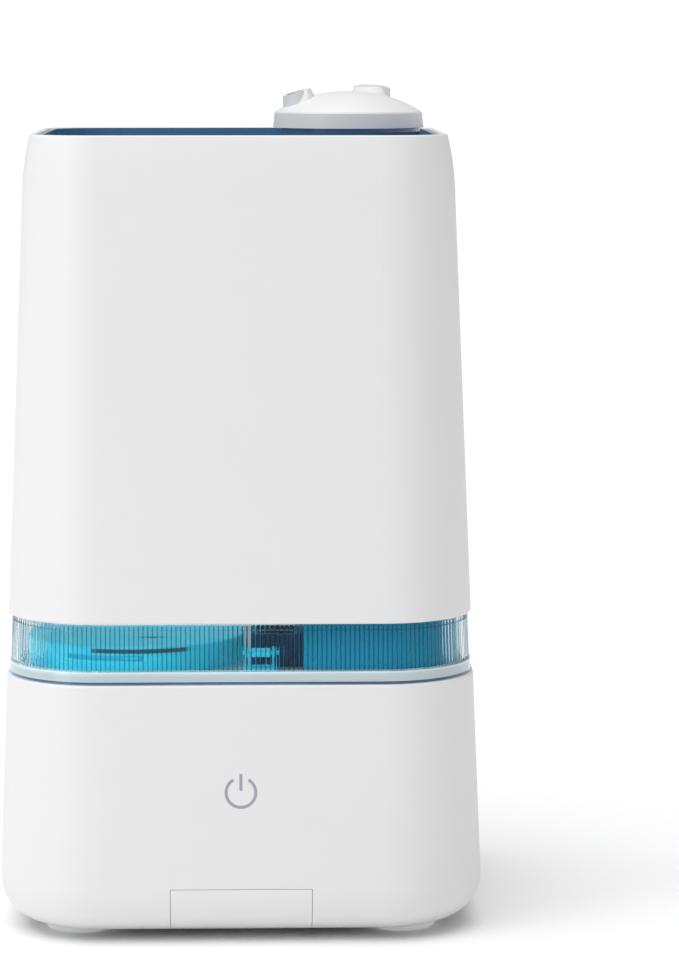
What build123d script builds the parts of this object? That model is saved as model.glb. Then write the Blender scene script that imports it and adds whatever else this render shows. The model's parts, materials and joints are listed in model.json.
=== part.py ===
"""Top-fill ultrasonic cool mist humidifier of about 4 litres. Millimetres, +Z up.

Origin: the middle of the footprint, on the surface that the feet stand on. The front faces -Y.
"""

from build123d import *
from math import cos, radians, sin, tan
import os

os.makedirs("parts", exist_ok=True)

# ---------------------------------------------------------------- driving dimensions
BODY_W = 180.2  # widest, at WIDEST_Z
BODY_D = 172.0
CORNER_R = 38.0  # plan corner at WIDEST_Z
WIDEST_Z = 27.0
DRAFT = 2.35  # degrees that every outer wall leans in by
TOP_CURVE_Z = 276.0  # above this the sleeve also curves in
TOP_CURVE_R = 99.0
FIT = 0.3  # clearance between separate mouldings
PAST = 1.0  # how far a cutting block runs past the face it cuts

BASE_Z = 3.0  # underside of the base
BASE_TOP = 96.4
BASE_WALL = 2.6
BASE_ROUND = 16.5  # large round along the bottom edge

RIM_Z = 97.0  # underside of the tank's rim, a shadow gap above the base
BAND_Z = 101.3  # where the window band starts
BAND_TOP = 118.5
SLEEVE_TOP = 296.4
SLEEVE_WALL = 2.4
RIM_INSET = 1.0
BAND_INSET = 1.35
BAND_WALL = 2.6
TANK_INSET = 3.2  # the tank's wall inside the sleeve
TANK_WALL = 2.2
TANK_TOP = 284.0
RIM_RING = 5.2  # inset of the rim's inner edge, round the sunken floor
FLOOR_TOP = 99.4

OUTLET = (41.8, 0.0)  # mist outlet axis, right of the middle
MIST = (50.0, -30.0)  # axis of the ultrasonic disc
AIR = (60.0, 20.0)  # axis of the air duct
COVER = (-39.5, -36.0)  # axis of the round cover and of the valve under it
COVER_R = 41.0
FLOAT = (-10.0, 34.0)
CATCH = (7.5, -67.0)

SYMBOL_Z = 57.0
TRAY_W = 52.0
TRAY_TOP = 21.0
TRAY_GAP = 0.18


# ---------------------------------------------------------------- helpers
def inset_at(z):
    """How far the outer wall stands in from the widest outline at height z."""
    lean = (z - WIDEST_Z) * tan(radians(DRAFT))
    curve = max(0.0, z - TOP_CURVE_Z) ** 2 / (2 * TOP_CURVE_R)
    return lean + curve


def half_depth(z, inset=0.0):
    return BODY_D / 2 - inset_at(z) - inset


def outline(z, inset=0.0):
    """The body's rounded outline at height z, as a sketch there."""
    step = inset_at(z) + inset
    with BuildSketch(Plane.XY.offset(z)) as shape:
        RectangleRounded(BODY_W - 2 * step, BODY_D - 2 * step, CORNER_R - step)
    return shape.sketch


def drafted(z0, z1, inset, mode=Mode.ADD):
    """A block with the body's outline and draft, in the active part."""
    extrude(outline(z0, inset), amount=z1 - z0, taper=DRAFT, mode=mode)


def curved(levels, inset, mode=Mode.ADD):
    """A block through the body's outlines at these heights, in the active part."""
    loft([outline(z, inset) for z in levels], mode=mode)


def upright(z0, z1, inset, mode=Mode.ADD):
    """A block with upright sides, measured in from the outline at the sleeve's top edge."""
    step = inset_at(SLEEVE_TOP) - inset_at(z0) + inset
    extrude(outline(z0, step), amount=z1 - z0, mode=mode)


def column(at, z0, z1, r, mode=Mode.ADD):
    """A round column in the active part."""
    with BuildSketch(Plane.XY.offset(z0)) as shape:
        with Locations(at):
            Circle(r)
    extrude(shape.sketch, amount=z1 - z0, mode=mode)


def tube(at, z0, z1, r_out, r_in):
    """A round tube in the active part, which leaves its bore open."""
    with BuildSketch(Plane.XY.offset(z0)) as shape:
        with Locations(at):
            Circle(r_out)
            Circle(r_in, mode=Mode.SUBTRACT)
    extrude(shape.sketch, amount=z1 - z0)


def slab(at, z0, z1, w, d, r=0.0, mode=Mode.ADD):
    """A block in the active part, with upright corners of radius r."""
    with BuildSketch(Plane.XY.offset(z0)) as shape:
        with Locations(at):
            if r > 0:
                RectangleRounded(w, d, r)
            else:
                Rectangle(w, d)
    extrude(shape.sketch, amount=z1 - z0, mode=mode)


def around(at, r, angle):
    """The point at this distance and angle from a vertical axis."""
    return (at[0] + r * cos(radians(angle)), at[1] + r * sin(radians(angle)))


def save(piece, name):
    piece.part.label = name
    export_step(piece.part, f"parts/{name}.step")


# ---------------------------------------------------------------- base: outer casing
HOLLOW_Z = BASE_Z + BASE_WALL
PLATE = (132.0, 124.0)  # underside cover
PLATE_R = 20.0
FOOT_R, FOOT_AT = 12.5, (60.5, 53.0)
BOSSES = ((-58, -30), (-58, 30), (58, -30), (12, 57))  # screws of the underside cover
SCREW_R, SCREW_HEAD_R = 1.25, 2.9
LEDGE_Z = 84.9  # the basin stands on this ledge
LEDGE = (2.0, 8.4)  # insets of its outer and inner edge
TRAY_OPEN_Y = -66.0  # the tray's opening ends here
TRAY_FRONT_Y = -BODY_D / 2 - PAST
INLET_X, INLET_Z = -48.0, 27.0
INLET_R = 5.5

with BuildPart() as base_block:
    drafted(BASE_Z, BASE_TOP, 0)
    fillet(base_block.faces().sort_by(Axis.Z)[0].edges(), BASE_ROUND)

with BuildPart() as base_hollow:
    drafted(HOLLOW_Z, BASE_TOP + PAST, BASE_WALL)
    fillet(base_hollow.faces().sort_by(Axis.Z)[0].edges(), BASE_ROUND - BASE_WALL)

front_tilt = Plane(
    origin=(0, -half_depth(SYMBOL_Z), SYMBOL_Z),
    x_dir=(1, 0, 0),
    z_dir=(0, -cos(radians(DRAFT)), sin(radians(DRAFT))),
)
SYMBOL_R, SYMBOL_LINE, SYMBOL_GAP = 5.45, 1.1, 30.0
SYMBOL_DEEP = 0.8


def standby_sign(grow):
    """The standby sign on the front: an open ring and an upright bar."""
    with BuildSketch(front_tilt) as sign:
        with BuildLine() as ring:
            CenterArc((0, 0), SYMBOL_R, 90 + SYMBOL_GAP, 360 - 2 * SYMBOL_GAP)
        trace(ring.line, line_width=SYMBOL_LINE + 2 * grow)
        with BuildLine() as bar:
            Line((0, 0.7), (0, 6.9))
        trace(bar.line, line_width=SYMBOL_LINE + 2 * grow)
    return sign.sketch


def tray_zone(grow, mode):
    """The block that the aroma tray's front panel takes up, grown to make its opening."""
    depth = TRAY_OPEN_Y - TRAY_FRONT_Y
    middle = (0, TRAY_FRONT_Y + depth / 2 - 4)
    slab(middle, BASE_Z - PAST, TRAY_TOP + grow, TRAY_W + 2 * grow, depth + 8 + 2 * grow, mode=mode)


def plate_plan(z, shrink):
    """The underside cover's outline, which keeps clear of the four feet."""
    with BuildSketch(Plane.XY.offset(z)) as plan:
        RectangleRounded(PLATE[0] - 2 * shrink, PLATE[1] - 2 * shrink, PLATE_R - shrink)
        with GridLocations(2 * FOOT_AT[0], 2 * FOOT_AT[1], 2, 2):
            Circle(FOOT_R + 1.2 + shrink, mode=Mode.SUBTRACT)
    return plan.sketch


with BuildPart() as screw_ribs:
    for x, y in BOSSES:
        if abs(x) > abs(y):
            slab((x + 14 * (1 if x > 0 else -1), y), HOLLOW_Z + 0.2, 14.5, 36, 7.4)
        else:
            slab((x, y + 14), HOLLOW_Z + 0.2, 14.5, 7.4, 36)
        column((x, y), BASE_Z, 16, SCREW_R + 0.05, mode=Mode.SUBTRACT)
    add(base_block.part, mode=Mode.INTERSECT)

with BuildPart() as base_shell:
    add(base_block.part)
    fillet(base_shell.faces().sort_by(Axis.Z)[-1].edges(), 1.0)
    add(base_hollow.part, mode=Mode.SUBTRACT)
    drafted(LEDGE_Z - 2.4, LEDGE_Z, LEDGE[0])
    drafted(LEDGE_Z - 2.4, LEDGE_Z, LEDGE[1], mode=Mode.SUBTRACT)
    extrude(plate_plan(BASE_Z - PAST, 0), amount=BASE_WALL + 1.1, mode=Mode.SUBTRACT)
    add(screw_ribs.part)
    tray_zone(TRAY_GAP, Mode.SUBTRACT)
    extrude(standby_sign(0.02), amount=-SYMBOL_DEEP, mode=Mode.SUBTRACT)
    with BuildSketch(Plane.XZ.offset(-half_depth(INLET_Z) - PAST)) as inlet_hole:
        with Locations((INLET_X, INLET_Z)):
            Circle(INLET_R + 0.15)
    extrude(inlet_hole.sketch, amount=8, mode=Mode.SUBTRACT)
save(base_shell, "base_shell")

with BuildPart() as power_symbol:
    extrude(standby_sign(0.0), amount=-SYMBOL_DEEP + 0.05)
save(power_symbol, "power_symbol")

# ---------------------------------------------------------------- base: underside
VENT_AT = (44.0, 34.0)  # under the blower

with BuildPart() as base_plate:
    extrude(plate_plan(BASE_Z, FIT), amount=BASE_WALL)
    fillet(base_plate.faces().sort_by(Axis.Z)[0].edges(), 0.4)
    with BuildSketch(Plane.XY.offset(BASE_Z - PAST)) as vents:
        with Locations((VENT_AT[0] - 5, VENT_AT[1] - 8)):
            with GridLocations(0, 4.4, 1, 7):
                SlotOverall(26, 2.0)
    extrude(vents.sketch, amount=BASE_WALL + 2 * PAST, mode=Mode.SUBTRACT)
    for boss in BOSSES:
        column(boss, BASE_Z - PAST, HOLLOW_Z + PAST, SCREW_R + 0.2, mode=Mode.SUBTRACT)
        column(boss, BASE_Z - PAST, BASE_Z + 1.5, SCREW_HEAD_R + 0.2, mode=Mode.SUBTRACT)
save(base_plate, "base_plate")

with BuildPart() as base_screws:
    for x, y in BOSSES:
        column((x, y), BASE_Z + 0.2, BASE_Z + 1.4, SCREW_HEAD_R)
        column((x, y), BASE_Z + 1.4, BASE_Z + 13.0, SCREW_R)
        slab((x, y), BASE_Z, BASE_Z + 0.9, 3.6, 0.7, mode=Mode.SUBTRACT)
        slab((x, y), BASE_Z, BASE_Z + 0.9, 0.7, 3.6, mode=Mode.SUBTRACT)
save(base_screws, "base_screws")

with BuildPart() as feet:
    for x in (-FOOT_AT[0], FOOT_AT[0]):
        for y in (-FOOT_AT[1], FOOT_AT[1]):
            column((x, y), 0, 12, FOOT_R)
    fillet(feet.faces().group_by(Axis.Z)[0].edges(), 1.2)
    add(base_block.part, mode=Mode.SUBTRACT)
save(feet, "feet")

# ---------------------------------------------------------------- base: water basin
BASIN_Z = 86.0  # underside of the basin's flange, on its seal
BASIN_FLOOR = (66.0, 68.2)
SEAT_Z = BASIN_Z + 2.0  # the tank stands here
MIST_HOLE_R, AIR_R, AIR_WALL = 11.0, 6.0, 1.6
FLOAT_POST_R, FLOAT_POST_TOP = 3.0, 92.0
PIN_R, PIN_TOP = 2.2, 86.7

with BuildPart() as basin:
    drafted(BASIN_Z, BASE_TOP - 0.8, 3.0)
    drafted(SEAT_Z, BASE_TOP, 5.0, mode=Mode.SUBTRACT)
    drafted(BASIN_FLOOR[0], SEAT_Z, 9.2)
    drafted(BASIN_FLOOR[1], SEAT_Z + PAST, 11.2, mode=Mode.SUBTRACT)
    column(MIST, BASIN_FLOOR[0], BASIN_FLOOR[1] + 1.8, MIST_HOLE_R + 5)
    column(AIR, BASIN_FLOOR[0], 84, AIR_R + AIR_WALL)
    column(FLOAT, BASIN_FLOOR[1] - 0.2, FLOAT_POST_TOP, FLOAT_POST_R)
    column(COVER, BASIN_FLOOR[1] - 0.2, PIN_TOP - 6, 4.0)
    column(COVER, BASIN_FLOOR[1] - 0.2, PIN_TOP, PIN_R)
    slab((26, -28), BASIN_FLOOR[1] - 0.2, 82, 2.0, 62)  # calms the water beside the disc
    slab((26, -28), BASIN_FLOOR[1], BASIN_FLOOR[1] + 4, 6, 10, mode=Mode.SUBTRACT)
    column(MIST, BASIN_FLOOR[0] - PAST, BASIN_FLOOR[1] + 4, MIST_HOLE_R, mode=Mode.SUBTRACT)
    column(AIR, BASIN_FLOOR[0] - PAST, 85, AIR_R, mode=Mode.SUBTRACT)
save(basin, "basin")

with BuildPart() as basin_seal:
    drafted(LEDGE_Z, BASIN_Z, 4.4)
    drafted(LEDGE_Z - PAST, BASIN_Z + PAST, 7.2, mode=Mode.SUBTRACT)
save(basin_seal, "basin_seal")

FLOAT_R, FLOAT_Z, FLOAT_H = 13.0, 68.6, 9.0
with BuildPart() as float_ring:
    tube(FLOAT, FLOAT_Z, FLOAT_Z + FLOAT_H, FLOAT_R, FLOAT_POST_R + FIT)
    fillet(float_ring.edges().filter_by(GeomType.CIRCLE).group_by(SortBy.RADIUS)[-1], 1.5)
save(float_ring, "float_ring")

# ---------------------------------------------------------------- base: ultrasonic disc
with BuildPart() as mist_disc:
    column(MIST, BASIN_FLOOR[0] - 2.4, BASIN_FLOOR[0] - 1.2, MIST_HOLE_R + 0.8)
save(mist_disc, "mist_disc")

with BuildPart() as mist_seal:
    tube(MIST, BASIN_FLOOR[0] - 1.2, BASIN_FLOOR[0], MIST_HOLE_R + 2.2, MIST_HOLE_R - 1.4)
    tube(MIST, BASIN_FLOOR[0] - 2.4, BASIN_FLOOR[0] - 1.2, MIST_HOLE_R + 2.2, MIST_HOLE_R + 0.9)
save(mist_seal, "mist_seal")

CLAMP_Z = BASIN_FLOOR[0] - 5.4
with BuildPart() as mist_clamp:
    column(MIST, CLAMP_Z, BASIN_FLOOR[0] - 2.4, 15.5)
    column(MIST, CLAMP_Z + 1.2, BASIN_FLOOR[0], MIST_HOLE_R - 1.4, mode=Mode.SUBTRACT)
    for turn in range(8):
        slab(around(MIST, 13.4, 45 * turn), CLAMP_Z - 5, CLAMP_Z, 1.2, 1.2)
save(mist_clamp, "mist_clamp")

with BuildPart() as driver_board:
    slab((50, -34), 40.0, 41.6, 44, 46)
    for x in (32, 68):
        for y in (-53, -15):
            column((x, y), HOLLOW_Z, 40, 2.5)
    column((40, -44), 30, 40, 4.0)
    column((52, -48), 31, 40, 3.0)
    slab((62, -38), 33, 40, 8, 14)
    slab((50, -20), 36, 40, 22, 8)
save(driver_board, "driver_board")

with BuildPart() as heat_sink:
    slab((50, -34), 41.6, 44.0, 34, 34)
    with BuildSketch(Plane.XY.offset(44.0)) as fins:
        with Locations((50, -34)):
            with GridLocations(5.4, 0, 6, 1):
                Rectangle(1.6, 34)
    extrude(fins.sketch, amount=9)
save(heat_sink, "heat_sink")

# ---------------------------------------------------------------- base: blower
FAN_Z, FAN_H, FAN_W = 10.0, 18.0, 52.0
FAN_R = 22.0
STATOR_R, SHAFT_R = 6.5, 1.0
with BuildPart() as fan_housing:
    slab(VENT_AT, FAN_Z, FAN_Z + FAN_H, FAN_W, FAN_W, 5)
    with BuildSketch(Plane.XY.offset(FAN_Z + 2)) as volute:
        with Locations(VENT_AT):
            Circle(FAN_R)
        with Locations(AIR):
            Circle(AIR_R + 1)
    extrude(volute.sketch, amount=FAN_H - 4, mode=Mode.SUBTRACT)
    column(VENT_AT, FAN_Z - PAST, FAN_Z + 3, 15, mode=Mode.SUBTRACT)
    column(AIR, FAN_Z + FAN_H - 3, FAN_Z + FAN_H + PAST, AIR_R, mode=Mode.SUBTRACT)
    for x in (-FAN_W / 2 + 5, FAN_W / 2 - 5):
        column((VENT_AT[0] + x, VENT_AT[1] + FAN_W / 2 - 6), HOLLOW_Z, FAN_Z + 1, 3)
save(fan_housing, "fan_housing")

with BuildPart() as fan_motor:
    tube(VENT_AT, FAN_Z + 6.5, FAN_Z + FAN_H - 2, STATOR_R, SHAFT_R + 0.06)
save(fan_motor, "fan_motor")

ROTOR_Z = FAN_Z + 3.6
with BuildPart() as fan_rotor:
    tube(VENT_AT, ROTOR_Z, ROTOR_Z + 11.2, 8.6, 7.2)
    column(VENT_AT, ROTOR_Z, ROTOR_Z + 1.4, 8.6)
    column(VENT_AT, ROTOR_Z + 1, ROTOR_Z + 12.0, SHAFT_R)
    tube(VENT_AT, ROTOR_Z + 10.0, ROTOR_Z + 11.2, 20.4, 8.0)
    with BuildSketch(Plane.XY.offset(ROTOR_Z)) as blades:
        with Locations(VENT_AT):
            with PolarLocations(14.2, 15):
                Rectangle(11.6, 1.0, rotation=24)
    extrude(blades.sketch, amount=10.6)
save(fan_rotor, "fan_rotor")

with BuildPart() as air_duct:
    tube(AIR, FAN_Z + FAN_H, BASIN_FLOOR[0], AIR_R + 1.4, AIR_R)
save(air_duct, "air_duct")

# ---------------------------------------------------------------- base: electronics and inlet
BOARD = (-34.0, 12.0)
BOARD_Z = 16.0
with BuildPart() as main_board:
    slab(BOARD, BOARD_Z, BOARD_Z + 1.6, 62, 70, 2)
    for x in (-26, 26):
        for y in (-30, 30):
            column((BOARD[0] + x, BOARD[1] + y), HOLLOW_Z, BOARD_Z, 2.5)
save(main_board, "main_board")

with BuildPart() as board_parts:
    for step in range(4):
        column((BOARD[0] - 20, BOARD[1] - 18 + 12 * step), BOARD_Z + 1.6, BOARD_Z + 14, 4.5)
    slab((BOARD[0] + 2, BOARD[1] - 12), BOARD_Z + 1.6, BOARD_Z + 12, 18, 16, 1)
    slab((BOARD[0] + 4, BOARD[1] + 14), BOARD_Z + 1.6, BOARD_Z + 3.4, 12, 12)
    for step in range(3):
        slab((BOARD[0] + 24, BOARD[1] - 16 + 14 * step), BOARD_Z + 1.6, BOARD_Z + 8, 6, 10)
save(board_parts, "board_parts")

with BuildPart() as touch_board:
    with BuildSketch(front_tilt.offset(-BASE_WALL - 1.5)) as touch_plan:
        RectangleRounded(34, 26, 2)
    extrude(touch_plan.sketch, amount=-1.2)
    with BuildSketch(front_tilt.offset(-BASE_WALL - 0.3)) as touch_pads:
        Circle(4.0)
        with Locations((-11, 0), (11, 0)):
            Rectangle(3, 2)
    extrude(touch_pads.sketch, amount=-1.2)
save(touch_board, "touch_board")

with BuildPart() as dc_inlet:
    with BuildSketch(Plane.XZ.offset(-half_depth(INLET_Z) - 0.6)) as inlet_face:
        with Locations((INLET_X, INLET_Z)):
            Circle(INLET_R)
    extrude(inlet_face.sketch, amount=14.6)
    with BuildSketch(Plane.XZ.offset(-half_depth(INLET_Z) + BASE_WALL + 0.7)) as inlet_flange:
        with Locations((INLET_X, INLET_Z)):
            RectangleRounded(16, 16, 2)
    extrude(inlet_flange.sketch, amount=2)
    with BuildSketch(Plane.XZ.offset(-half_depth(INLET_Z) - PAST)) as inlet_bore:
        with Locations((INLET_X, INLET_Z)):
            Circle(2.9)
            Circle(1.05, mode=Mode.SUBTRACT)
    extrude(inlet_bore.sketch, amount=12, mode=Mode.SUBTRACT)
save(dc_inlet, "dc_inlet")

# ---------------------------------------------------------------- aroma tray
TRAY_TUB_W, TRAY_BACK_Y = 44.0, -36.0
TRAY_Z = (7.6, 17.4)
TRAY_WALL = 1.6
with BuildPart() as tray_cutter:
    tray_zone(0, Mode.ADD)

with BuildPart() as aroma_tray:
    add(base_block.part)
    add(base_hollow.part, mode=Mode.SUBTRACT)
    add(tray_cutter.part, mode=Mode.INTERSECT)
    slab((0, TRAY_BACK_Y - 23.5), TRAY_Z[0], TRAY_Z[1], TRAY_TUB_W, 47)
    slab(
        (0, TRAY_BACK_Y - 21.8),
        TRAY_Z[0] + TRAY_WALL,
        TRAY_Z[1] + PAST,
        TRAY_TUB_W - 2 * TRAY_WALL,
        40.4,
        2,
        mode=Mode.SUBTRACT,
    )
    add(base_block.part, mode=Mode.INTERSECT)
save(aroma_tray, "aroma_tray")

with BuildPart() as aroma_pad:
    slab((0, -57.0), TRAY_Z[0] + TRAY_WALL, TRAY_Z[0] + TRAY_WALL + 2.6, 37, 36, 2)
save(aroma_pad, "aroma_pad")

with BuildPart() as tray_housing:
    slab((0, -48.6), 5.8, 20.4, 48.4, 32.0)
    slab((0, -51.4), 7.2, 22, TRAY_TUB_W + 0.8, 34.0, mode=Mode.SUBTRACT)
save(tray_housing, "tray_housing")

# ---------------------------------------------------------------- tank
HOOD_LEFT, HOOD_BACK = 23.0, 30.0
HOOD_INSET = 5.9
HOOD_TOP = 122.0
HOOD_WALL = 1.8
TUBE_R, TUBE_TOP = 21.0, 288.1
LID_Z = 288.5
GASKET_Z = 285.8
LIP_Z = 282.5  # the tank's wall thickens inwards above this, under the lid's gasket
LID_INSET = 2.9  # the lid passes the sleeve's mouth
VALVE_R = 9.0
GUIDE_Z = 91.6


def hood_plan(z, shrink):
    """The mist hood's footprint: the tank's front right corner and a straight left and back."""
    step = inset_at(z) + HOOD_INSET + shrink
    with BuildSketch(Plane.XY.offset(z)) as plan:
        RectangleRounded(BODY_W - 2 * step, BODY_D - 2 * step, CORNER_R - step)
        with Locations((HOOD_LEFT + shrink + 60, HOOD_BACK - shrink - 80)):
            Rectangle(120, 160, mode=Mode.INTERSECT)
    return plan.sketch


with BuildPart() as tank_body:
    drafted(BAND_Z, BAND_TOP, BAND_INSET)
    drafted(BAND_TOP, TANK_TOP + 1.5, TANK_INSET)
    drafted(BAND_Z, BAND_TOP - 2.4, BAND_INSET + BAND_WALL, mode=Mode.SUBTRACT)
    drafted(BAND_TOP - 2.4, LIP_Z, TANK_INSET + TANK_WALL, mode=Mode.SUBTRACT)
    upright(LIP_Z - PAST, TANK_TOP + 3, LID_INSET + 2.34, mode=Mode.SUBTRACT)
save(tank_body, "tank_body")

with BuildPart() as tank_floor:
    drafted(SEAT_Z + 0.3, RIM_Z, 7.5)
    drafted(RIM_Z, BAND_Z, RIM_INSET)
    drafted(FLOOR_TOP, BAND_Z + PAST, RIM_RING, mode=Mode.SUBTRACT)
    drafted(SEAT_Z - PAST, RIM_Z, 9.7, mode=Mode.SUBTRACT)
    extrude(hood_plan(RIM_Z - PAST, HOOD_WALL + 1.5), amount=10, mode=Mode.SUBTRACT)
    column(COVER, RIM_Z, FLOOR_TOP + PAST, VALVE_R, mode=Mode.SUBTRACT)
    tube(COVER, GUIDE_Z - 0.4, RIM_Z, VALVE_R + 2.4, VALVE_R)
    slab(COVER, GUIDE_Z, GUIDE_Z + 3, 2 * VALVE_R + 1, 2.4)
    slab(COVER, GUIDE_Z, GUIDE_Z + 3, 2.4, 2 * VALVE_R + 1)
    column(COVER, GUIDE_Z, GUIDE_Z + 4, 3.6)
    column(COVER, GUIDE_Z - PAST, FLOOR_TOP, 2.06, mode=Mode.SUBTRACT)
save(tank_floor, "tank_floor")

with BuildPart() as tank_sleeve:
    drafted(BAND_TOP + 0.3, TOP_CURVE_Z, 0)
    curved([TOP_CURVE_Z, 281, 286, 291, SLEEVE_TOP], 0)
    drafted(BAND_TOP - PAST, TOP_CURVE_Z, SLEEVE_WALL, mode=Mode.SUBTRACT)
    curved([TOP_CURVE_Z, 281, 286, 291, SLEEVE_TOP + PAST], SLEEVE_WALL, mode=Mode.SUBTRACT)
    drafted(BAND_TOP + 0.3, BAND_TOP + 3, 1.0)
    drafted(BAND_TOP - 0.3, BAND_TOP + 3.2, TANK_INSET - 0.05, mode=Mode.SUBTRACT)
    fillet(tank_sleeve.faces().sort_by(Axis.Z)[-1].edges(), 0.8)
    fillet(tank_sleeve.faces().sort_by(Axis.Z)[0].outer_wire().edges(), 0.9)
save(tank_sleeve, "tank_sleeve")

with BuildPart() as mist_hood:
    loft([hood_plan(z, 0) for z in (FLOOR_TOP, HOOD_TOP)])
    loft([hood_plan(z, HOOD_WALL) for z in (FLOOR_TOP - PAST, HOOD_TOP - 1.8)], mode=Mode.SUBTRACT)
    column(OUTLET, HOOD_TOP - 3, HOOD_TOP + PAST, TUBE_R - 2, mode=Mode.SUBTRACT)
save(mist_hood, "mist_hood")

with BuildPart() as mist_tube:
    tube(OUTLET, HOOD_TOP, TUBE_TOP, TUBE_R, TUBE_R - 2)
save(mist_tube, "mist_tube")

with BuildPart() as chimney_boot:
    slab((13.4, -43), FLOOR_TOP, 111.8, 18.8, 34, 2.5)
    slab((13.4, -43), 105, 116, 14.0, 29, 1.5, mode=Mode.SUBTRACT)
save(chimney_boot, "chimney_boot")

# ---------------------------------------------------------------- tank: water valve
STEM_TIP = PIN_TOP + 0.4
VALVE_Z = FLOOR_TOP + 2.8  # the raised valve; it drops by less than its seal's gap to the floor
with BuildPart() as valve_plunger:
    column(COVER, STEM_TIP, VALVE_Z, 2.0)
    column(COVER, STEM_TIP, STEM_TIP + 1.0, 3.6)
    column(COVER, VALVE_Z, VALVE_Z + 1.2, VALVE_R + 1.6)
save(valve_plunger, "valve_plunger")

with BuildPart() as valve_seal:
    tube(COVER, VALVE_Z - 0.6, VALVE_Z, VALVE_R + 1.4, VALVE_R - 1.2)
save(valve_seal, "valve_seal")

WIRE_R = 0.28
with BuildPart() as valve_spring:
    with BuildLine() as coil:
        Helix(
            pitch=1.4,
            height=GUIDE_Z - STEM_TIP - 1.0 - 2 * WIRE_R - 0.1,
            radius=2.9,
            center=(*COVER, STEM_TIP + 1.05 + WIRE_R),
        )
    with BuildSketch(Plane(origin=coil.line @ 0, z_dir=coil.line % 0)):
        Circle(WIRE_R)
    sweep(is_frenet=True)
save(valve_spring, "valve_spring")

RING_R = 38.4
LUGS = (-90, 30, 150)
with BuildPart() as cover_ring:
    tube(COVER, FLOOR_TOP, 107.0, RING_R, RING_R - 1.8)
    for angle in LUGS:
        with BuildSketch(Plane.XY.offset(105.0)) as lug:
            with Locations(COVER):
                with PolarLocations(RING_R + 0.6, 1, start_angle=angle):
                    Rectangle(2.6, 5)
        extrude(lug.sketch, amount=1.2)
save(cover_ring, "cover_ring")

COVER_Z, COVER_TOP = FLOOR_TOP + 0.4, 109.6
with BuildPart() as valve_cover:
    column(COVER, COVER_Z, COVER_TOP, COVER_R)
    fillet(valve_cover.faces().sort_by(Axis.Z)[-1].edges(), 0.8)
    column(COVER, COVER_Z - PAST, COVER_TOP - 2, COVER_R - 1.2, mode=Mode.SUBTRACT)
    for angle in LUGS:
        with BuildSketch(Plane.XY.offset(104.6)) as window:
            with BuildLine() as groove:
                CenterArc(COVER, COVER_R - 0.6, angle - 35.5, 41)
            trace(groove.line, line_width=3)
        extrude(window.sketch, amount=2.0, mode=Mode.SUBTRACT)
save(valve_cover, "valve_cover")

with BuildPart() as cover_mark:
    with BuildSketch(Plane.XY.offset(COVER_TOP)) as mark:
        with Locations((-32.8, -53)):
            Ellipse(2.4, 1.0)
        with Locations((-32.8 - 3.6, -53), (-32.8 + 3.6, -53)):
            Rectangle(1.4, 0.8)
    extrude(mark.sketch, amount=0.3)
    with BuildSketch(Plane.XY.offset(COVER_TOP - 2.1)) as grip:
        with BuildLine() as edge:
            CenterArc(COVER, COVER_R + 0.15, -111, 50)
        trace(edge.line, line_width=0.3)
    extrude(grip.sketch, amount=1.5)
save(cover_mark, "cover_mark")

with BuildPart() as strainer:
    tube(COVER, FLOOR_TOP, FLOOR_TOP + 3.4, 20.0, 18.8)
    with BuildSketch(Plane.XY.offset(FLOOR_TOP + 0.8)) as slots:
        with Locations(COVER):
            with PolarLocations(19.4, 30):
                Rectangle(3, 1.2)
    extrude(slots.sketch, amount=1.8, mode=Mode.SUBTRACT)
save(strainer, "strainer")

# ---------------------------------------------------------------- tank: catch of the round cover
CATCH_PIN_Z = 106.0
with BuildPart() as catch_bracket:
    slab(CATCH, FLOOR_TOP, FLOOR_TOP + 1.4, 12, 9, 1)
    for x in (-5, 5):
        slab((CATCH[0] + x, CATCH[1]), FLOOR_TOP + 0.8, CATCH_PIN_Z + 2, 1.6, 5)
    with BuildSketch(Plane.YZ.offset(CATCH[0] - 8)) as catch_bore:
        with Locations((CATCH[1], CATCH_PIN_Z)):
            Circle(0.8)
    extrude(catch_bore.sketch, amount=16, mode=Mode.SUBTRACT)
save(catch_bracket, "catch_bracket")

with BuildPart() as catch_lever:
    with BuildSketch(Plane.YZ.offset(CATCH[0] - 7)) as catch_axle:
        with Locations((CATCH[1], CATCH_PIN_Z)):
            Circle(0.75)
    extrude(catch_axle.sketch, amount=14)
    with BuildSketch(Plane.YZ.offset(CATCH[0] - 3.6)) as catch_side:
        with Locations((CATCH[1], CATCH_PIN_Z)):
            Circle(1.7)
        with Locations((CATCH[1] - 3.2, CATCH_PIN_Z + 0.4)):
            Rectangle(6.4, 1.6)
    extrude(catch_side.sketch, amount=7.2)
save(catch_lever, "catch_lever")

# ---------------------------------------------------------------- lid
COLLAR_R, COLLAR_TOP = 27.4, 297.5
RING_BORE = 24.6
SPIGOT = (18.4, 16.6)
with BuildPart() as lid:
    upright(LID_Z, SLEEVE_TOP - 0.3, LID_INSET)
    upright(LID_Z + 2.0, SLEEVE_TOP + PAST, LID_INSET + 2.0, mode=Mode.SUBTRACT)
    column(OUTLET, LID_Z, COLLAR_TOP, COLLAR_R)
    upright(281.0, LID_Z, LID_INSET + 2.84)
    upright(281.0 - PAST, LID_Z, LID_INSET + 4.44, mode=Mode.SUBTRACT)
    tube(OUTLET, 279.0, LID_Z + 0.5, *SPIGOT)
    column(OUTLET, LID_Z + 2, COLLAR_TOP + PAST, RING_BORE, mode=Mode.SUBTRACT)
    column(OUTLET, 278.0, COLLAR_TOP + PAST, SPIGOT[1], mode=Mode.SUBTRACT)
save(lid, "lid")

with BuildPart() as lid_seal:
    upright(GASKET_Z, LID_Z, LID_INSET)
    upright(GASKET_Z - PAST, LID_Z + PAST, LID_INSET + 2.4, mode=Mode.SUBTRACT)
save(lid_seal, "lid_seal")

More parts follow.
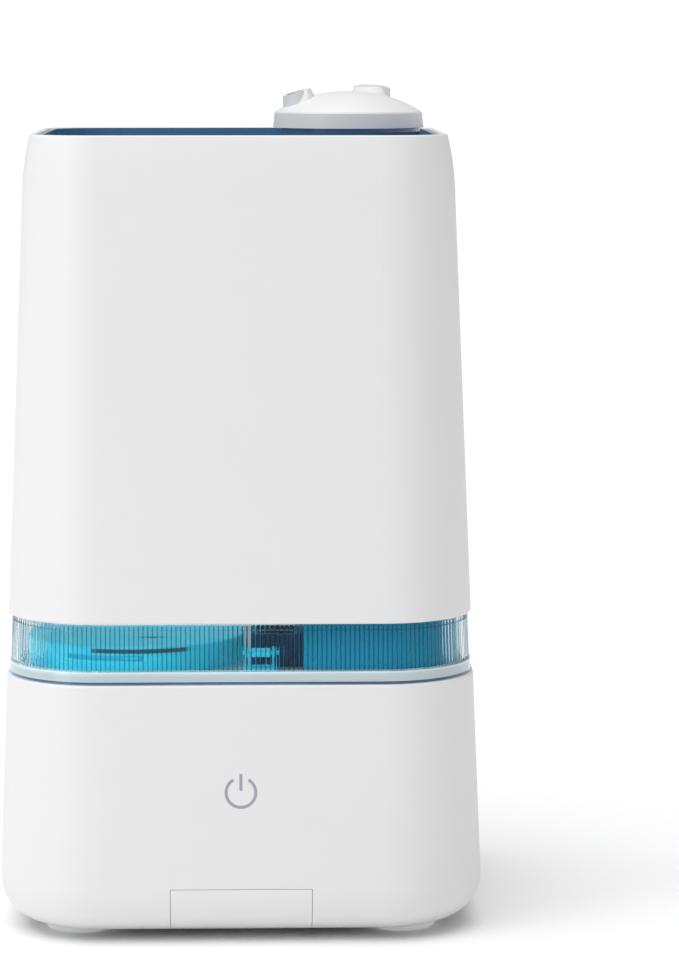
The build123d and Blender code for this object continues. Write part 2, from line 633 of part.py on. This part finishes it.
# ---------------------------------------------------------------- nozzle
FLANGE_R, FLANGE_Z, FLANGE_TOP, DOME_TOP = 28.7, 297.8, 303.3, 311.4
SKIRT_WALL = 1.5
TURN_R = 22.2  # bore that the cap turns in
with BuildPart() as nozzle_base:
    tube(OUTLET, 291.0, 299.2, RING_BORE - 0.4, TURN_R)
    tube(OUTLET, FLANGE_Z, 299.2, 26.8, TURN_R)
    tube(OUTLET, 291.0, 292.4, TURN_R + 0.5, 15.0)
    for turn in range(3):
        with BuildSketch(Plane.XY.offset(291.0)) as baffle:
            with Locations((*OUTLET,)):
                with PolarLocations(10.5, 1, start_angle=120 * turn + 20):
                    Rectangle(13, 3)
        extrude(baffle.sketch, amount=1.4)
    column(OUTLET, 291.0, 292.4, 6)
save(nozzle_base, "nozzle_base")

SPOUTS = ((188, 0.0), (62, 1.5))  # azimuth, and how much taller
SPOUT_AT = 20.6
SPOUT_R, SPOUT_WIDE = 4.5, 7.6
SPOUT_WALL = 1.1
SPOUT_TILT = 17


def dome(shrink):
    """The cap's outer form, a skirt and a dome, shrunk by a wall."""
    with BuildSketch(Plane.XZ) as profile:
        with BuildLine():
            top = (0, DOME_TOP - shrink)
            shoulder = (27.7 - shrink, FLANGE_TOP + 0.6 - shrink)
            edge = (28.1 - shrink, FLANGE_TOP - shrink / 2)
            foot = (FLANGE_R - shrink, FLANGE_Z - (PAST if shrink else 0))
            Line((0, foot[1]), foot)
            Line(foot, edge)
            Line(edge, shoulder)
            ThreePointArc(shoulder, (16.6 - shrink * 0.4, 309.1 - shrink), top)
            Line(top, (0, foot[1]))
        make_face()
    return profile.sketch


def horn(angle, taller, shrink):
    """A spout: an oval horn that leans on the dome and ends in a plane which falls outwards."""
    out = (cos(radians(angle)), sin(radians(angle)))
    tilt = radians(SPOUT_TILT)
    mouth = Plane(
        origin=(*around((0, 0), SPOUT_AT, angle), 311.0 + taller),
        z_dir=(sin(tilt) * out[0], sin(tilt) * out[1], cos(tilt)),
    )
    with BuildPart(mode=Mode.PRIVATE) as form:
        with BuildSketch(Plane.XY.offset(301 if shrink else 305)) as oval:
            with Locations(around((0, 0), SPOUT_AT, angle)):
                Ellipse(SPOUT_R - shrink, SPOUT_WIDE - shrink, rotation=angle)
        extrude(oval.sketch, amount=14)
        if not shrink:
            with BuildSketch(Plane.XY.offset(305)) as root:
                with Locations(around((0, 0), SPOUT_AT - 3.4, angle)):
                    Ellipse(SPOUT_R + 2.6, SPOUT_WIDE + 3.2, rotation=angle)
            extrude(root.sketch, amount=8, taper=32)
            with BuildSketch(mouth) as above:
                Circle(40)
            extrude(above.sketch, amount=30, mode=Mode.SUBTRACT)
    return form.part


horns = [horn(angle, taller, 0) for angle, taller in SPOUTS]
bores = [horn(angle, taller, SPOUT_WALL) for angle, taller in SPOUTS]
cap_at = Location((*OUTLET, 0))

with BuildPart() as cap_block:
    revolve(dome(0), axis=Axis.Z)
    add(horns)

with BuildPart() as cap_hollow:
    revolve(dome(SKIRT_WALL), axis=Axis.Z)

with BuildPart() as nozzle_cap:
    add(cap_block.part.moved(cap_at))
    add(cap_hollow.part.moved(cap_at), mode=Mode.SUBTRACT)
    tube(OUTLET, 293.4, 305.0, TURN_R - 0.06, TURN_R - 1.8)
    add([bore.moved(cap_at) for bore in bores], mode=Mode.SUBTRACT)
save(nozzle_cap, "nozzle_cap")
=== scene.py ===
"""Looks for the cool mist humidifier: camera, studio light, materials and the fluted window band."""
import bpy, json
from math import cos, pi, radians, sin, tan
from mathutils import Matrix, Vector


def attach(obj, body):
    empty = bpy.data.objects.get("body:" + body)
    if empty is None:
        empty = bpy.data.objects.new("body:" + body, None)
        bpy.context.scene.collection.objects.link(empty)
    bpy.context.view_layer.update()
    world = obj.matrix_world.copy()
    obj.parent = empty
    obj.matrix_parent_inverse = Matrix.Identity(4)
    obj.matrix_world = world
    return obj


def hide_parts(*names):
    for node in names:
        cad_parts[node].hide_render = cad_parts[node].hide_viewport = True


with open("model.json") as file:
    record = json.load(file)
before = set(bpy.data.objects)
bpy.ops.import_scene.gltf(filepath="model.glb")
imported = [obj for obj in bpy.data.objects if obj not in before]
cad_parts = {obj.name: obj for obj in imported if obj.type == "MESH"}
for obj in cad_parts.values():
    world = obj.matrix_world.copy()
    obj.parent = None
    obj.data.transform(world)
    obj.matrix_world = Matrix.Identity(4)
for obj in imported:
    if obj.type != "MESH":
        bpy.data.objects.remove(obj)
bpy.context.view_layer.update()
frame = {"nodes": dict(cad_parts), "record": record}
scene = bpy.context.scene
scene.view_settings.view_transform = "Standard"
scene.view_settings.look = "None"
scene.view_settings.exposure = 0.0

# ---------------------------------------------------------------- camera
PITCH, YAW = radians(6.776), radians(1.589)
VIEW = Vector((sin(YAW) * cos(PITCH), cos(YAW) * cos(PITCH), -sin(PITCH)))
lens = bpy.data.cameras.new("camera")
lens.lens, lens.sensor_width, lens.sensor_fit = 136.256, 36.0, "AUTO"
lens.clip_start, lens.clip_end = 0.05, 60
camera = bpy.data.objects.new("camera", lens)
camera.location = (0, -1.38612, 0.3278)
camera.rotation_euler = VIEW.to_track_quat("-Z", "Y").to_euler()
scene.collection.objects.link(camera)
scene.camera = camera


# ---------------------------------------------------------------- light and floor
def area_light(name, place, aim, power, width, height, colour=(1, 1, 1)):
    """A rectangular studio light that points at a place."""
    data = bpy.data.lights.new(name, "AREA")
    data.shape, data.size, data.size_y = "RECTANGLE", width, height
    data.energy, data.color = power, colour
    lamp = bpy.data.objects.new(name, data)
    lamp.location = place
    lamp.rotation_euler = (Vector(aim) - Vector(place)).to_track_quat("-Z", "Y").to_euler()
    scene.collection.objects.link(lamp)


WORLD_LIGHT, WORLD_SEEN = 0.39, 1.02  # what lights the object, and the white that the camera sees
SUN_POWER, SUN_ANGLE = 2.4, radians(70)
world = bpy.data.worlds.new("studio")
scene.world = world
world.use_nodes = True
wn, wl = world.node_tree.nodes, world.node_tree.links
wn.clear()
w_out, w_mix = wn.new("ShaderNodeOutputWorld"), wn.new("ShaderNodeMixShader")
w_path = wn.new("ShaderNodeLightPath")
w_light, w_seen = wn.new("ShaderNodeBackground"), wn.new("ShaderNodeBackground")
for node, strength in ((w_light, WORLD_LIGHT), (w_seen, WORLD_SEEN)):
    node.inputs["Color"].default_value = (1, 1, 1, 1)
    node.inputs["Strength"].default_value = strength
wl.new(w_path.outputs["Is Camera Ray"], w_mix.inputs["Fac"])
wl.new(w_light.outputs[0], w_mix.inputs[1])
wl.new(w_seen.outputs[0], w_mix.inputs[2])
wl.new(w_mix.outputs[0], w_out.inputs["Surface"])

sun_data = bpy.data.lights.new("overhead", "SUN")
sun_data.energy, sun_data.angle = SUN_POWER, SUN_ANGLE
sun = bpy.data.objects.new("overhead", sun_data)
sun.rotation_euler = Vector((0.16, 0.10, -1.0)).to_track_quat("-Z", "Y").to_euler()
scene.collection.objects.link(sun)
area_light("left_strip", (-0.55, -0.52, 0.40), (-0.06, -0.02, 0.16), power=1.45, width=0.30, height=0.95)
area_light(
    "inside_glow",  # in the tank, so that the window band isn't dark
    (-0.02, 0.0, 0.262),
    (-0.02, 0.0, 0.10),
    power=0.10,
    width=0.10,
    height=0.12,
    colour=(0.93, 0.98, 1.0),
)


# ---------------------------------------------------------------- materials
GRAIN_DEPTH = 0.0002


def principled(name):
    """A new material, its nodes, its links and its shader."""
    mat = bpy.data.materials.new(name)
    mat.use_nodes = True
    nodes = mat.node_tree.nodes
    return mat, nodes, mat.node_tree.links, nodes["Principled BSDF"]


def plastic(
    name,
    colour,
    rough=0.4,
    vary=0.03,
    grain=900.0,
    bump=0.06,
    cloud=14.0,
    coat=0.0,
    transmission=0.0,
    metallic=0.0,
    subsurface=0.0,
    ior=1.5,
    painted_glow=0.0,
    wear=0.0,
    see_through=False,
    specular=0.5,
):
    """Moulded plastic and its relatives: cloudy colour, uneven gloss, a fine grain, paler edges and, where
    asked, a painted glow.
    """
    mat, nodes, links, shader = principled(name)
    place = nodes.new("ShaderNodeTexCoord")
    clouds = nodes.new("ShaderNodeTexNoise")
    clouds.inputs["Scale"].default_value, clouds.inputs["Detail"].default_value = cloud, 4
    fine = nodes.new("ShaderNodeTexNoise")
    fine.inputs["Scale"].default_value, fine.inputs["Detail"].default_value = grain, 3
    links.new(place.outputs["Object"], clouds.inputs["Vector"])
    links.new(place.outputs["Object"], fine.inputs["Vector"])
    tint = nodes.new("ShaderNodeMix")
    tint.data_type = "RGBA"
    tint.inputs["A"].default_value = (*[c * (1 - vary) for c in colour], 1)
    tint.inputs["B"].default_value = (*[min(1, c * (1 + vary)) for c in colour], 1)
    links.new(clouds.outputs["Fac"], tint.inputs["Factor"])
    colour_out = tint.outputs["Result"]
    if wear:
        geometry = nodes.new("ShaderNodeNewGeometry")
        edge = nodes.new("ShaderNodeMapRange")
        edge.inputs["From Min"].default_value, edge.inputs["From Max"].default_value = 0.52, 0.62
        links.new(geometry.outputs["Pointiness"], edge.inputs["Value"])
        scale = nodes.new("ShaderNodeMath")
        scale.operation = "MULTIPLY"
        scale.inputs[1].default_value = wear
        links.new(edge.outputs["Result"], scale.inputs[0])
        worn = nodes.new("ShaderNodeMix")
        worn.data_type = "RGBA"
        worn.inputs["B"].default_value = (*[min(1, c * 1.25 + 0.05) for c in colour], 1)
        links.new(scale.outputs["Value"], worn.inputs["Factor"])
        links.new(colour_out, worn.inputs["A"])
        colour_out = worn.outputs["Result"]
    links.new(colour_out, shader.inputs["Base Color"])
    gloss = nodes.new("ShaderNodeMapRange")
    gloss.inputs["To Min"].default_value, gloss.inputs["To Max"].default_value = rough * 0.86, rough * 1.14
    links.new(clouds.outputs["Fac"], gloss.inputs["Value"])
    links.new(gloss.outputs["Result"], shader.inputs["Roughness"])
    relief = nodes.new("ShaderNodeBump")
    relief.inputs["Strength"].default_value = bump
    relief.inputs["Distance"].default_value = GRAIN_DEPTH
    links.new(fine.outputs["Fac"], relief.inputs["Height"])
    links.new(relief.outputs["Normal"], shader.inputs["Normal"])
    shader.inputs["Metallic"].default_value = metallic
    shader.inputs["Coat Weight"].default_value = coat
    shader.inputs["Coat Roughness"].default_value = 0.08
    shader.inputs["Transmission Weight"].default_value = transmission
    shader.inputs["IOR"].default_value = ior
    shader.inputs["Specular IOR Level"].default_value = specular
    if subsurface:
        shader.inputs["Subsurface Weight"].default_value = subsurface
        shader.inputs["Subsurface Scale"].default_value = 0.004
    # painted light: emission brightens the part as if more light reached it, though it is no lamp
    if painted_glow:
        links.new(colour_out, shader.inputs["Emission Color"])
        shader.inputs["Emission Strength"].default_value = painted_glow
    if see_through:
        out = nodes["Material Output"]
        path, mix = nodes.new("ShaderNodeLightPath"), nodes.new("ShaderNodeMixShader")
        clear = nodes.new("ShaderNodeBsdfTransparent")
        clear.inputs["Color"].default_value = (*[0.35 + 0.62 * c for c in colour], 1)
        links.new(path.outputs["Is Shadow Ray"], mix.inputs["Fac"])
        links.new(shader.outputs[0], mix.inputs[1])
        links.new(clear.outputs[0], mix.inputs[2])
        links.new(mix.outputs[0], out.inputs["Surface"])
    return mat


def paint_groove_shade(mat, colour, rough):
    """Paints shade into the cut lines of the fluted band and dulls them, where its mesh's attribute "groove"
    marks them: painted shade lines in place of the flutes' refraction.
    """
    nodes, links = mat.node_tree.nodes, mat.node_tree.links
    shader = nodes["Principled BSDF"]
    groove_shade_mask = nodes.new("ShaderNodeAttribute")
    groove_shade_mask.attribute_name = "groove"
    for socket, kind, far in (("Base Color", "RGBA", (*colour, 1)), ("Roughness", "FLOAT", rough)):
        blend = nodes.new("ShaderNodeMix")
        blend.data_type = kind
        links.new(groove_shade_mask.outputs["Fac"], blend.inputs[0])
        a, b = [i for i in blend.inputs if i.name in "AB" and i.enabled][:2]
        links.new(shader.inputs[socket].links[0].from_socket, a)
        b.default_value = far
        result = [o for o in blend.outputs if o.enabled][0]
        links.new(result, shader.inputs[socket])
    clear = nodes.new("ShaderNodeMapRange")
    clear.inputs["To Min"].default_value, clear.inputs["To Max"].default_value = 1.0, 0.97
    links.new(groove_shade_mask.outputs["Fac"], clear.inputs["Value"])
    links.new(clear.outputs["Result"], shader.inputs["Transmission Weight"])
    return mat


def paint_shade_and_highlight_lines(mat, lines):
    """Paints level lines of shade and highlight on a moulding, each a height, a half width and a colour."""
    nodes, links = mat.node_tree.nodes, mat.node_tree.links
    shader = nodes["Principled BSDF"]
    place, split = nodes.new("ShaderNodeTexCoord"), nodes.new("ShaderNodeSeparateXYZ")
    links.new(place.outputs["Object"], split.inputs["Vector"])
    for height, half_width, colour in lines:
        on_painted_line = nodes.new("ShaderNodeMath")
        on_painted_line.operation = "COMPARE"
        on_painted_line.inputs[1].default_value, on_painted_line.inputs[2].default_value = height, half_width
        links.new(split.outputs["Z"], on_painted_line.inputs[0])
        blend = nodes.new("ShaderNodeMix")
        blend.data_type = "RGBA"
        blend.inputs["B"].default_value = (*colour, 1)
        links.new(on_painted_line.outputs["Value"], blend.inputs["Factor"])
        links.new(shader.inputs["Base Color"].links[0].from_socket, blend.inputs["A"])
        links.new(blend.outputs["Result"], shader.inputs["Base Color"])
    return mat


WHITE = (0.765, 0.765, 0.772)
looks = {
    "white_plastic": plastic("white_plastic", WHITE, 0.42, vary=0.008, bump=0.05, wear=0.05),
    "inner_white_plastic": plastic("inner_white_plastic", (0.74, 0.77, 0.78), 0.36, vary=0.015),
    "clear_plastic": paint_groove_shade(
        plastic(
            "clear_plastic",
            (0.93, 0.985, 0.995),
            0.02,
            vary=0.004,
            bump=0.01,
            transmission=1.0,
            ior=1.22,
            see_through=True,
            specular=0.15,
        ),
        # the painted shade colour of the groove lines, and their roughness
        (0.03, 0.30, 0.46),
        0.12,
    ),
    "pale_clear_plastic": paint_shade_and_highlight_lines(
        plastic(
            "pale_clear_plastic",
            (0.68, 0.82, 0.86),
            0.16,
            vary=0.02,
            bump=0.02,
            transmission=0.35,
            coat=0.3,
            see_through=True,
        ),
        # a painted shadow line at the rim's foot, over the gap to the base, and a painted highlight line
        # along its top
        [(0.0972, 0.0004, (0.05, 0.13, 0.24)), (0.1010, 0.0003, (0.90, 0.96, 0.98))],  # the rim's edges
    ),
    "teal_plastic": plastic(
        # painted light: the glow brightens the teal parts inside the tank as if lit through its walls
        "teal_plastic", (0.002, 0.22, 0.36), 0.30, vary=0.12, bump=0.03, specular=0.08, painted_glow=0.13
    ),
    "cyan_plastic": plastic(
        # painted light: the glow brightens the cyan parts inside the tank as if lit through its walls
        "cyan_plastic", (0.025, 0.50, 0.66), 0.25, vary=0.08, bump=0.03, specular=0.2, painted_glow=0.25
    ),
    "navy_plastic": plastic(
        "navy_plastic", (0.080, 0.21, 0.38), 0.12, vary=0.15, bump=0.02, coat=0.7, transmission=0.10
    ),
    "navy_silicone": plastic(
        # painted light: the glow lifts the dark silicone out of its shade
        "navy_silicone", (0.006, 0.045, 0.10), 0.45, vary=0.12, bump=0.08, specular=0.1, painted_glow=0.10
    ),
    "grey_symbol": plastic("grey_symbol", (0.36, 0.33, 0.40), 0.35, vary=0.04),
    "dark_mark": plastic("dark_mark", (0.01, 0.07, 0.11), 0.3, vary=0.05),
    "soft_clear": plastic(
        "soft_clear", (0.80, 0.81, 0.82), 0.32, vary=0.05, bump=0.10,
        # painted light: the glow lifts the feet out of the shadow under the base
        transmission=0.25, subsurface=0.2, painted_glow=0.18
    ),
    "silicone": plastic("silicone", (0.66, 0.68, 0.69), 0.42, vary=0.04, bump=0.12),
    "steel": plastic("steel", (0.56, 0.56, 0.57), 0.26, vary=0.06, bump=0.05, metallic=1.0, grain=1400),
    "aluminium": plastic(
        "aluminium", (0.68, 0.69, 0.70), 0.34, vary=0.05, bump=0.10, metallic=1.0, grain=1200
    ),
    "black_plastic": plastic("black_plastic", (0.022, 0.022, 0.024), 0.42, vary=0.12, bump=0.12, wear=0.3),
    "motor_metal": plastic(
        "motor_metal", (0.42, 0.30, 0.20), 0.35, vary=0.2, bump=0.2, metallic=0.8, grain=500
    ),
    "duct_plastic": plastic("duct_plastic", (0.60, 0.62, 0.64), 0.4, vary=0.03),
    "green_board": plastic("green_board", (0.02, 0.17, 0.07), 0.34, vary=0.25, bump=0.15, cloud=60, coat=0.4),
    "board_black": plastic("board_black", (0.05, 0.05, 0.055), 0.4, vary=0.3, bump=0.1, cloud=40),
    "felt": plastic("felt", (0.72, 0.72, 0.67), 0.95, vary=0.10, bump=0.9, grain=1600, cloud=90),
    "float_foam": plastic("float_foam", (0.78, 0.78, 0.76), 0.7, vary=0.04, bump=0.4, grain=1500),
    "valve_plastic": plastic("valve_plastic", (0.70, 0.73, 0.75), 0.35, vary=0.03),
}
slot_of = {part["node"]: part["material_slot"] for part in frame["record"]["subparts"]}
for name, obj in frame["nodes"].items():
    obj.data.materials.clear()
    obj.data.materials.append(looks[slot_of[name]])
    for poly in obj.data.polygons:
        poly.material_index = 0

# ---------------------------------------------------------------- floor
floor_mat, fn, fl, floor_shader = principled("studio_floor")
floor_noise = fn.new("ShaderNodeTexNoise")
floor_noise.inputs["Scale"].default_value = 3.0
floor_tint = fn.new("ShaderNodeMix")
floor_tint.data_type = "RGBA"
floor_tint.inputs["A"].default_value = (0.95, 0.95, 0.95, 1)
floor_tint.inputs["B"].default_value = (0.97, 0.97, 0.97, 1)
fl.new(floor_noise.outputs["Fac"], floor_tint.inputs["Factor"])
fl.new(floor_tint.outputs["Result"], floor_shader.inputs["Base Color"])
floor_shader.inputs["Roughness"].default_value = 0.7
floor_mesh = bpy.data.meshes.new("floor")
REACH = 12.0
corners = [(-REACH, -REACH, 0), (REACH, -REACH, 0), (REACH, REACH, 0), (-REACH, REACH, 0)]
floor_mesh.from_pydata(corners, [], [(0, 1, 2, 3)])
floor = bpy.data.objects.new("floor", floor_mesh)
floor_mesh.materials.append(floor_mat)
scene.collection.objects.link(floor)

# ---------------------------------------------------------------- fluted window band, for the plain tank wall
BODY_W, BODY_D, CORNER_R, WIDEST_Z, DRAFT = 0.1802, 0.172, 0.038, 0.027, radians(2.35)
BAND_Z, BAND_TOP, TANK_TOP = 0.1013, 0.1185, 0.2855
BAND_INSET, BAND_WALL, TANK_INSET, TANK_WALL = 0.00135, 0.0026, 0.0032, 0.0022
LIP_WALL, LIP_HEIGHT = 0.0046, 0.003  # the wall is thicker at the brim
SHELF = 0.0024  # the band's step under the tank wall
FLUTE_PITCH, GROOVE_W, GROOVE_D = 0.00172, 0.00062, 0.00026
FLUTE_END = 0.0004  # a flute fades out over this height
FLANK, FLANK_DEPTH = 0.55, 0.55  # a point on a groove's side, by half width and by depth
GROOVE_SHADE_GAIN = 1.6


def ring_frame(z, inset):
    """Half width, half depth and corner radius of the outline at this height and inset."""
    step = (z - WIDEST_Z) * tan(DRAFT) + inset
    return BODY_W / 2 - step, BODY_D / 2 - step, CORNER_R - step


def ring_point(fraction, z, inset):
    """A point on the body's rounded outline and its outward normal, by the fraction of the way round."""
    w, d, r = ring_frame(z, inset)
    w0, d0, r0 = ring_frame(BAND_TOP, BAND_INSET)  # runs are measured at one height: upright flutes
    runs = [2 * (d0 - r0), r0 * pi / 2, 2 * (w0 - r0), r0 * pi / 2] * 2
    total = sum(runs)
    along = (fraction % 1.0) * total
    for index, run in enumerate(runs):
        if along <= run or index == 7:
            break
        along -= run
    t = min(1.0, along / run)
    if index == 0:
        return (w, -(d - r) + 2 * (d - r) * t, z), (1, 0)
    if index == 2:
        return ((w - r) - 2 * (w - r) * t, d, z), (0, 1)
    if index == 4:
        return (-w, (d - r) - 2 * (d - r) * t, z), (-1, 0)
    if index == 6:
        return (-(w - r) + 2 * (w - r) * t, -d, z), (0, -1)
    across = -1 if index in (3, 5) else 1
    back = -1 if index in (5, 7) else 1
    angle = (index - 1) * pi / 4 + t * pi / 2
    point = (across * (w - r) + r * cos(angle), back * (d - r) + r * sin(angle), z)
    return point, (cos(angle), sin(angle))


w0, d0, r0 = ring_frame(BAND_TOP, BAND_INSET)
flutes = round((4 * (w0 - r0) + 4 * (d0 - r0) + 2 * pi * r0) / FLUTE_PITCH)
half = GROOVE_W / FLUTE_PITCH / 2
side = [(half * FLANK, FLANK_DEPTH), (half, 0.0), (0.30, 0.0)]  # place in the flute, and depth
profile = [(0.0, 1.0), *side, (0.5, 0.0), *[(1 - place, depth) for place, depth in reversed(side)]]
stations = [((n + f) / flutes, g) for n in range(flutes) for f, g in profile]

levels = [  # the wall's section: height, inset and how far the flutes are cut
    (BAND_Z, BAND_INSET, 0.0),
    (BAND_Z + FLUTE_END, BAND_INSET, 1.0),
    (BAND_TOP - FLUTE_END, BAND_INSET, 1.0),
    (BAND_TOP, BAND_INSET, 0.0),
    (BAND_TOP, TANK_INSET, 0.0),
    (TANK_TOP, TANK_INSET, 0.0),
    (TANK_TOP, TANK_INSET + LIP_WALL, 0.0),
    (TANK_TOP - LIP_HEIGHT, TANK_INSET + LIP_WALL, 0.0),
    (TANK_TOP - LIP_HEIGHT, TANK_INSET + TANK_WALL, 0.0),
    (BAND_TOP - SHELF, TANK_INSET + TANK_WALL, 0.0),
    (BAND_TOP - SHELF, BAND_INSET + BAND_WALL, 0.0),
    (BAND_Z, BAND_INSET + BAND_WALL, 0.0),
]
verts, faces, groove_shade_marks = [], [], []
count = len(stations)
for z, inset, depth in levels:
    for fraction, groove in stations:
        point, normal = ring_point(fraction, z, inset)
        cut = groove * depth * GROOVE_D
        verts.append((point[0] - normal[0] * cut, point[1] - normal[1] * cut, z))
        # how strongly each point of the band takes the grooves' painted shade
        groove_shade_marks.append(min(1.0, GROOVE_SHADE_GAIN * groove) * depth)
for level in range(len(levels)):
    upper = (level + 1) % len(levels)
    for i in range(count):
        j = (i + 1) % count
        faces.append((level * count + i, level * count + j, upper * count + j, upper * count + i))
band_mesh = bpy.data.meshes.new("window_band")
band_mesh.from_pydata(verts, [], faces)
band_mesh.materials.append(looks["clear_plastic"])
band_mesh.attributes.new("groove", "FLOAT", "POINT").data.foreach_set("value", groove_shade_marks)
band = bpy.data.objects.new("window_band", band_mesh)
scene.collection.objects.link(band)
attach(band, "tank")
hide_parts("tank_body")

# ---------------------------------------------------------------- smooth shading of the carried-over nodes
for name, obj in frame["nodes"].items():
    if name != "tank_body":
        obj.data.shade_smooth()
